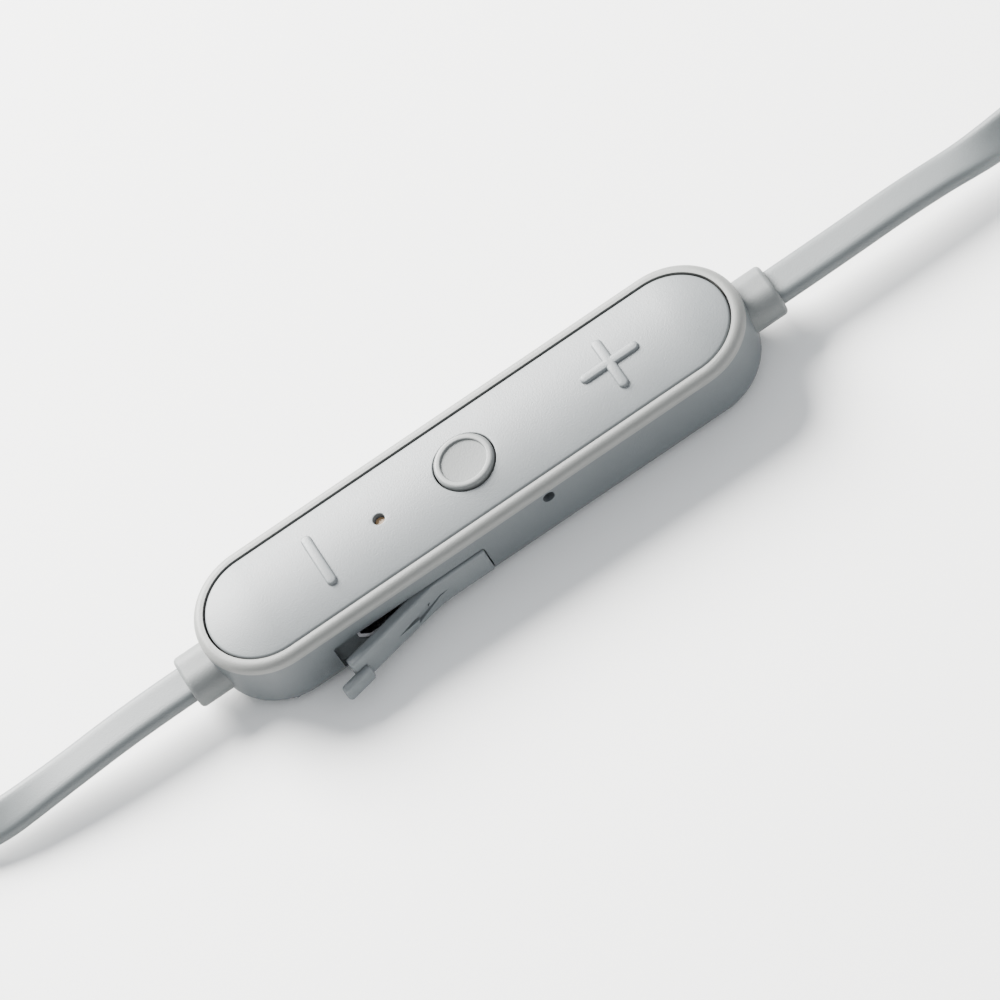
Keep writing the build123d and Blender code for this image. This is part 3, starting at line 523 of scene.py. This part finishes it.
def ribbon(line, turn_from, turn_to, way=1):
    """A flat cable along a line: it lies flat up to one length and stands on its edge from another.

    With way=1 its upper face leans to the right of its heading, and with way=-1 to the left.
    """
    section = stadium((CABLE_WIDTH - CABLE_THICKNESS) / 2, CABLE_THICKNESS / 2, ends=10, sides=6)
    rings = []
    gone = 0.0
    for i, here in enumerate(line):
        before, after = line[max(0, i - 1)], line[min(len(line) - 1, i + 1)]
        along = (after - before).normalized()
        gone += (here - line[i - 1]).length if i else 0.0
        level = Vector((-along.y, along.x, 0)).normalized()
        upright = along.cross(level)
        turn = way * pi / 2 * smoothstep((gone - turn_from) / (turn_to - turn_from))
        across = level * cos(turn) + upright * sin(turn)
        thick = upright * cos(turn) - level * sin(turn)
        rings.append([here / MM + across * p.x + thick * p.y for p in section])
    return solid(loft(rings, capped=True))


left_line = spline_line(LEFT_ROUTE + hank_turns() + TAIL_ROUTE)
right_line = spline_line(RIGHT_ROUTE)

left_cable = place(
    ribbon(left_line, 0.012, 0.044, way=-1), "left_cable", "remote", CABLE_RUBBER,
    ("left_cord", "left_cord_turned", "left_cord_tail", "left_hank"),
)
right_cable = place(
    ribbon(right_line, 0.018, 0.036), "right_cable", "remote", CABLE_RUBBER,
    ("right_cord", "right_cord_turned"),
)


def tie(side):
    """A soft strap round one side of the hank, from its CAD box."""
    low, high = mm_box("hank_ties")
    thick = 0.3
    outer_y, inner_y = high.y, high.y - 3.8
    outer = rounded(
        [(inner_y, low.z), (outer_y, low.z), (outer_y, high.z), (inner_y, high.z)],
        [0.5] * 4,
        True,
    )
    inner = rounded(
        [
            (inner_y + thick, low.z + thick),
            (outer_y - thick, low.z + thick),
            (outer_y - thick, high.z - thick),
            (inner_y + thick, high.z - thick),
        ],
        [0.2] * 4,
        True,
    )
    rings = []
    for outline, x in ((outer, low.x), (outer, high.x), (inner, high.x), (inner, low.x)):
        rings.append([(x, side * p.x, p.y) for p in outline])
    return solid(loft(rings, closed=True))


ties = carve(tie(1), tie(-1), "UNION")
place(ties, "cable_ties", "remote", TIE_RUBBER, ("hank_ties",))


# ---------------------------------------------------------------- volume plate and button

PLATE_RADIUS = PLATE_HIGH.y
PLATE_SPAN = PLATE_HIGH.x - PLATE_RADIUS
PLATE_CLOSER = 0.07
PLATE_EDGE = 7.45
PLATE_UNDERSIDE = 6.55
CROWN = 0.7
CROWN_REACH = PLATE_RADIUS - 0.15
CROWN_RADIUS = (CROWN_REACH ** 2 + CROWN ** 2) / (2 * CROWN)
SYMBOL_X = 15.9
SYMBOL_LENGTH = 6.25
SYMBOL_WIDTH = 1.03
SYMBOL_RAISE = 0.3
BUTTON_HOLE_RADIUS = 3.05
NIB_RADIUS = 0.8
NIB_END_Z = 6.03
LUG_Y = (4.15, 4.75)
PIVOT_Z = 5.85
PIVOT_RADIUS = 0.4
PIN_END_Y = 5.35
LIGHT_HOLE_X = -9.3
LIGHT_HOLE_RADIUS = 0.575


def crown_height(away):
    """The height of the plate's face this far from the middle line of the stadium."""
    return PLATE_EDGE + CROWN - CROWN_RADIUS + sqrt(CROWN_RADIUS ** 2 - away ** 2)


def on_the_crown(piece):
    """Lifts a piece drawn with its zero height at the plate's face so that it follows the crown."""
    for v in piece.data.vertices:
        beyond = max(0.0, abs(v.co.x) - PLATE_SPAN)
        v.co.z += crown_height(min(PLATE_RADIUS, Vector((beyond, v.co.y)).length))
    return piece


def plate_body():
    edge = 0.25
    shoulder = PLATE_RADIUS - edge
    profile = [(0.0, crown_height(0.0))]
    for k in range(1, 15):
        away = shoulder * k / 14
        profile.append((away, crown_height(away)))
    slope = shoulder / CROWN_RADIUS
    turn_z = crown_height(shoulder) - edge * cos(slope)
    turn_y = shoulder - edge * sin(slope)
    for k in range(1, 8):
        angle = slope + (pi / 2 - slope) * k / 7
        profile.append((turn_y + edge * sin(angle), turn_z + edge * cos(angle)))
    profile += [(turn_y + edge, PLATE_UNDERSIDE), (0.0, PLATE_UNDERSIDE)]
    fitted = [(away * (1 + PLATE_CLOSER / PLATE_RADIUS), z) for away, z in profile]
    return solid(stadium_loft(fitted, PLATE_SPAN, ends=48, sides=60))


def symbol_bar(x, along_y):
    """A soft domed bar with round ends, standing on the plate's crown."""
    half = SYMBOL_WIDTH / 2
    root = -0.35
    points = [(0.0, root), (half, root), (half, SYMBOL_RAISE - 0.04), (0.0, SYMBOL_RAISE)]
    profile = rounded(points, [0, 0, 0.24, 0], steps=6)
    bar = stadium_loft([(p.x, p.y) for p in profile], (SYMBOL_LENGTH - SYMBOL_WIDTH) / 2, ends=16, sides=24)
    if along_y:
        bar.transform(Matrix.Rotation(pi / 2, 4, "Z"))
    bar.transform(Matrix.Translation((x + 0.013, 0.007, 0)))  # keeps its mesh lines off the plate's
    return on_the_crown(solid(bar))


def soft_hole(radius, x):
    """A round hole through the plate whose upper edge is rounded over."""
    soft = 0.1
    profile = [(0.0, -3.0), (radius, -3.0)]
    for k in range(6):
        angle = pi / 2 * k / 5
        profile.append((radius + soft * (1 - cos(angle)), -soft + soft * sin(angle)))
    profile += [(radius + soft, 1.0), (0.0, 1.0)]
    hole = stadium_loft(profile, 0.0, ends=48, sides=1)
    hole.transform(Matrix.Translation((x, 0, 0)))
    return on_the_crown(solid(hole))


def pin(radius, low, high, x=0.0):
    """An upright round pin."""
    profile = [(0.0, low), (radius, low), (radius, high), (0.0, high)]
    upright = stadium_loft(profile, 0.0, ends=16, sides=1)
    upright.transform(Matrix.Translation((x, 0, 0)))
    return upright


def pivot(side):
    """A lug under the plate with its pivot pin, which points outwards."""
    near, far = sorted(side * y for y in LUG_Y)
    lug = rounded_box((-0.7, near, 5.4), (0.7, far, 6.7), 0.05, (2, 2, 2))
    outwards = pin(PIVOT_RADIUS, 0.0, PIN_END_Y - LUG_Y[0])
    outwards.transform(Matrix.Rotation(-side * pi / 2, 4, "X"))
    outwards.transform(Matrix.Translation((0, side * LUG_Y[0], PIVOT_Z)))
    return carve(solid(lug), solid(outwards), "UNION")


def volume_plate():
    plate = plate_body()
    for x in (-SYMBOL_X, SYMBOL_X):
        carve(plate, solid(pin(NIB_RADIUS, NIB_END_Z, PLATE_UNDERSIDE + 0.3, x)), "UNION")
    for side in (-1, 1):
        carve(plate, pivot(side), "UNION")
    carve(plate, symbol_bar(-SYMBOL_X, True), "UNION")
    plus = carve(symbol_bar(SYMBOL_X, False), symbol_bar(SYMBOL_X, True), "UNION")
    carve(plate, plus, "UNION")
    carve(plate, soft_hole(BUTTON_HOLE_RADIUS, 0.0))
    return carve(plate, soft_hole(LIGHT_HOLE_RADIUS, LIGHT_HOLE_X))


def button_body():
    """The round button: a raised ring round a shallow dish, and the flange that keeps it in."""
    ring_outer, ring_inner, flange = 2.9, 2.2, 3.4
    top = PLATE_EDGE + CROWN + 0.28
    dish = top - 0.2
    points = [
        (0.0, dish - 0.03), (ring_inner, dish), (ring_inner, top), (ring_outer, top), (ring_outer, 6.35),
        (flange, 6.35), (flange, 6.12), (NIB_RADIUS, 6.12), (NIB_RADIUS, NIB_END_Z), (0.0, NIB_END_Z),
    ]
    profile = rounded(points, [0, 0.03, 0.16, 0.32, 0, 0, 0, 0, 0, 0], steps=8)
    return solid(stadium_loft([(p.x, p.y) for p in profile], 0.0, ends=48, sides=1))


place(volume_plate(), "volume_plate", "rocker", PLATE_PLASTIC, ("rocker_plate",), weighted=True)
button = place(
    button_body(), "round_button", "center_button", BUTTON_PLASTIC, ("center_button",), sharp=50,
)
button.data.materials.append(DISH_PLASTIC)
for face in button.data.polygons:
    in_dish = Vector(face.center[:2]).length < 2.17 * MM and face.center.z > 8 * MM
    face.material_index = 1 if in_dish else 0


# ---------------------------------------------------------------- sleeves


def sleeve(end):
    """The moulded strain relief: a stadium bar with a rounded end and the cable's slot in its face."""
    inner_x = BODY_RADIUS + SPAN - 2.6
    outer_x = SLEEVE_HIGH.x
    radius = 2.0
    half_span = 0.75
    slot_span = (CABLE_WIDTH - CABLE_THICKNESS) / 2
    slot_radius = CABLE_THICKNESS / 2 + 0.06
    rings = [(half_span, 0.0, inner_x), (half_span, radius, inner_x)]
    for p in rounded([(radius, inner_x), (radius, outer_x), (0, outer_x)], [0, 0.45, 0], steps=8)[1:-1]:
        rings.append((half_span, p.x, p.y))
    rings += [(slot_span, slot_radius + 0.12, outer_x), (slot_span, slot_radius, outer_x - 0.12)]
    rings += [(slot_span, slot_radius, outer_x - 1.0), (slot_span, 0.0, outer_x - 1.0)]
    loops = []
    for span, size, x in rings:
        loops.append([(end * x, p.x, CABLE_Z + p.y) for p in stadium(span, size, 20, 6)])
    return solid(loft(loops))


for side, end in (("left", -1), ("right", 1)):
    name = f"{side}_strain_relief"
    place(sleeve(end), name, "remote", SLEEVE_RUBBER, (f"{side}_sleeve",), sharp=40)


# ---------------------------------------------------------------- port cover


def joint_named(name):
    return next(j for j in frame["joints"] if j["name"] == name)


FLAP_LENGTH = 10.4
LEAF_LENGTH = 5.68
AJAR = radians(13)
COVER_HALF_THICKNESS = 0.55
HINGE_HALF_THICKNESS = 0.25
TAB_BEYOND = 2.0
TAB_OVERLAP = 1.3
TAB_PROUD = 0.68
TAB_THICKNESS = 0.9
TAB_Z = (1.5, 3.45)
BOLT_DEPTH = 0.32


def port_cover():
    """The soft rubber cover: a leaf, a thin living hinge, and a flap that stands ajar, as one piece."""
    hinge = Vector(joint_named("port_flap_hinge")["pos_m"]) / MM
    face = hinge.y - COVER_HALF_THICKNESS
    end = hinge.x - FLAP_LENGTH
    low = Vector((end, face, LEAF_LOW.z))
    high = Vector((hinge.x + LEAF_LENGTH, hinge.y + COVER_HALF_THICKNESS, LEAF_HIGH.z))
    cover = solid(rounded_box(low, high, 0.28, (90, 3, 8)))
    thinnest = HINGE_HALF_THICKNESS / COVER_HALF_THICKNESS
    for v in cover.data.vertices:
        away = abs(v.co.x - hinge.x)
        thick = thinnest + (1 - thinnest) * smoothstep((away - 0.3) / 0.65)
        v.co.y = face + (v.co.y - face) * thick
    tab_low = (end - TAB_BEYOND, face - TAB_PROUD, TAB_Z[0])
    tab_high = (end + TAB_OVERLAP, face - TAB_PROUD + TAB_THICKNESS, TAB_Z[1])
    carve(cover, solid(rounded_box(tab_low, tab_high, 0.4, (8, 4, 6))), "UNION")
    carve(cover, bolt(hinge, face))
    for v in cover.data.vertices:
        share = smoothstep(hinge.x + 0.5 - v.co.x)
        v.co = hinge + Matrix.Rotation(AJAR * share, 3, "Z") @ (v.co - hinge)
    return cover


def bolt(hinge, face_y):
    """The engraved charge symbol: a lightning bolt that lies along the cover."""
    outline = [(-5.2, 2.75), (-1.1, 3.35), (-1.4, 2.9), (1.2, 3.1), (-3.05, 2.0), (-2.75, 2.42)]
    rings = []
    for y in (face_y - 0.5, face_y + BOLT_DEPTH):
        rings.append([(hinge.x + x, y, z) for x, z in outline])
    return solid(loft(rings, capped=True))


cover = place(
    port_cover(), "port_cover", None, COVER_RUBBER, ("port_cover_leaf", "port_cover_flap"),
    weighted=True,
)
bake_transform(cover)


# ---------------------------------------------------------------- earbuds

BOOT_END = 5.5
REAR_END = 11.1
FRONT_END = 16.1
NOZZLE_END = 20.6
BARREL = 5.75
TIP_GAP = 0.3


def rear_profile():
    outside = [
        (BOOT_END, 0), (BOOT_END, 4.2), (BOOT_END + 1.9, BARREL), (REAR_END, BARREL),
        (REAR_END, 5.0), (REAR_END - 0.6, 5.0),
    ]
    inside = [(REAR_END - 0.6, 4.85), (BOOT_END + 2.0, 4.85), (BOOT_END + 0.9, 3.8), (BOOT_END + 0.9, 0)]
    return rounded(outside, [0, 0.9, 1.6, 0.18, 0, 0], steps=8) + rounded(inside, [0, 0.6, 0.6, 0])


def front_profile():
    points = [
        (REAR_END, 5.2), (REAR_END, BARREL), (REAR_END + 2.6, BARREL), (FRONT_END - 0.9, 4.4),
        (FRONT_END, 3.1), (FRONT_END, 2.5), (NOZZLE_END, 2.5), (NOZZLE_END, 1.7), (FRONT_END - 0.6, 1.7),
        (REAR_END + 3.0, 4.0), (REAR_END, 4.85),
    ]
    return rounded(points, [0, 0.18, 1.8, 1.4, 0.3, 0.15, 0.2, 0.15, 0.3, 0.4, 0], steps=7)


def tip_profile():
    back = FRONT_END + TIP_GAP
    front = back + 6.1
    points = [
        (back, 2.56), (back, 3.3), (front - 1.6, 3.3), (back + 2.2, 5.1),
        (back + 0.55, 5.3), (back + 0.4, 5.9), (back + 1.5, 6.0), (back + 4.6, 4.9),
        (front, 3.3), (front, 2.0), (front - 0.9, 2.0), (front - 0.9, 2.56),
    ]
    radii = [0.15, 0.15, 0.5, 0.6, 0.2, 0.25, 1.0, 2.2, 0.8, 0.3, 0.1, 0.05]
    return rounded(points, radii, closed=True, steps=6)


def boot_profile():
    """The strain relief behind the earbud: a tapered boot with three shallow grooves."""
    points = [Vector((0, 0)), Vector((0, 2.15)), Vector((0.25, 2.4))]
    for k in range(3):
        start = 1.0 + 1.2 * k
        radius = 2.4 + start / BOOT_END
        points += [Vector((start, radius)), Vector((start + 0.1, radius - 0.22))]
        points += [Vector((start + 0.45, radius - 0.2)), Vector((start + 0.55, radius + 0.1))]
    points += [Vector((BOOT_END - 0.15, 3.37)), Vector((BOOT_END, 3.25)), Vector((BOOT_END, 0))]
    return points


def earbud(side, route, tip_joint):
    end = Vector(route[-1]) / MM
    heading = Vector(joint_named(tip_joint)["axis"])
    lie = Matrix.Translation(end) @ Matrix.Rotation(atan2(heading.y, heading.x), 4, "Z")
    pieces = (
        ("boot", boot_profile(), "remote", "sleeve", SLEEVE_RUBBER, "cable_boot"),
        ("rear", rear_profile(), "remote", "shell", SHELL_PLASTIC_WITH_PAINTED_SHADE, "rear_housing"),
        ("front", front_profile(), "remote", "frame", FRAME_PLASTIC, "front_housing"),
        ("tip", tip_profile(), f"{side}_tip", "ear_tip_silicone", TIP_SILICONE, "ear_tip"),
    )
    for name, profile, body, slot_name, material, node in pieces:
        bm = lathe(profile)
        bm.transform(lie)
        place(solid(bm), f"{side}_{name}", body, material, (f"{side}_{node}",), sharp=35)


earbud("left", TAIL_ROUTE, "left_tip_pull")
earbud("right", RIGHT_ROUTE, "right_tip_pull")
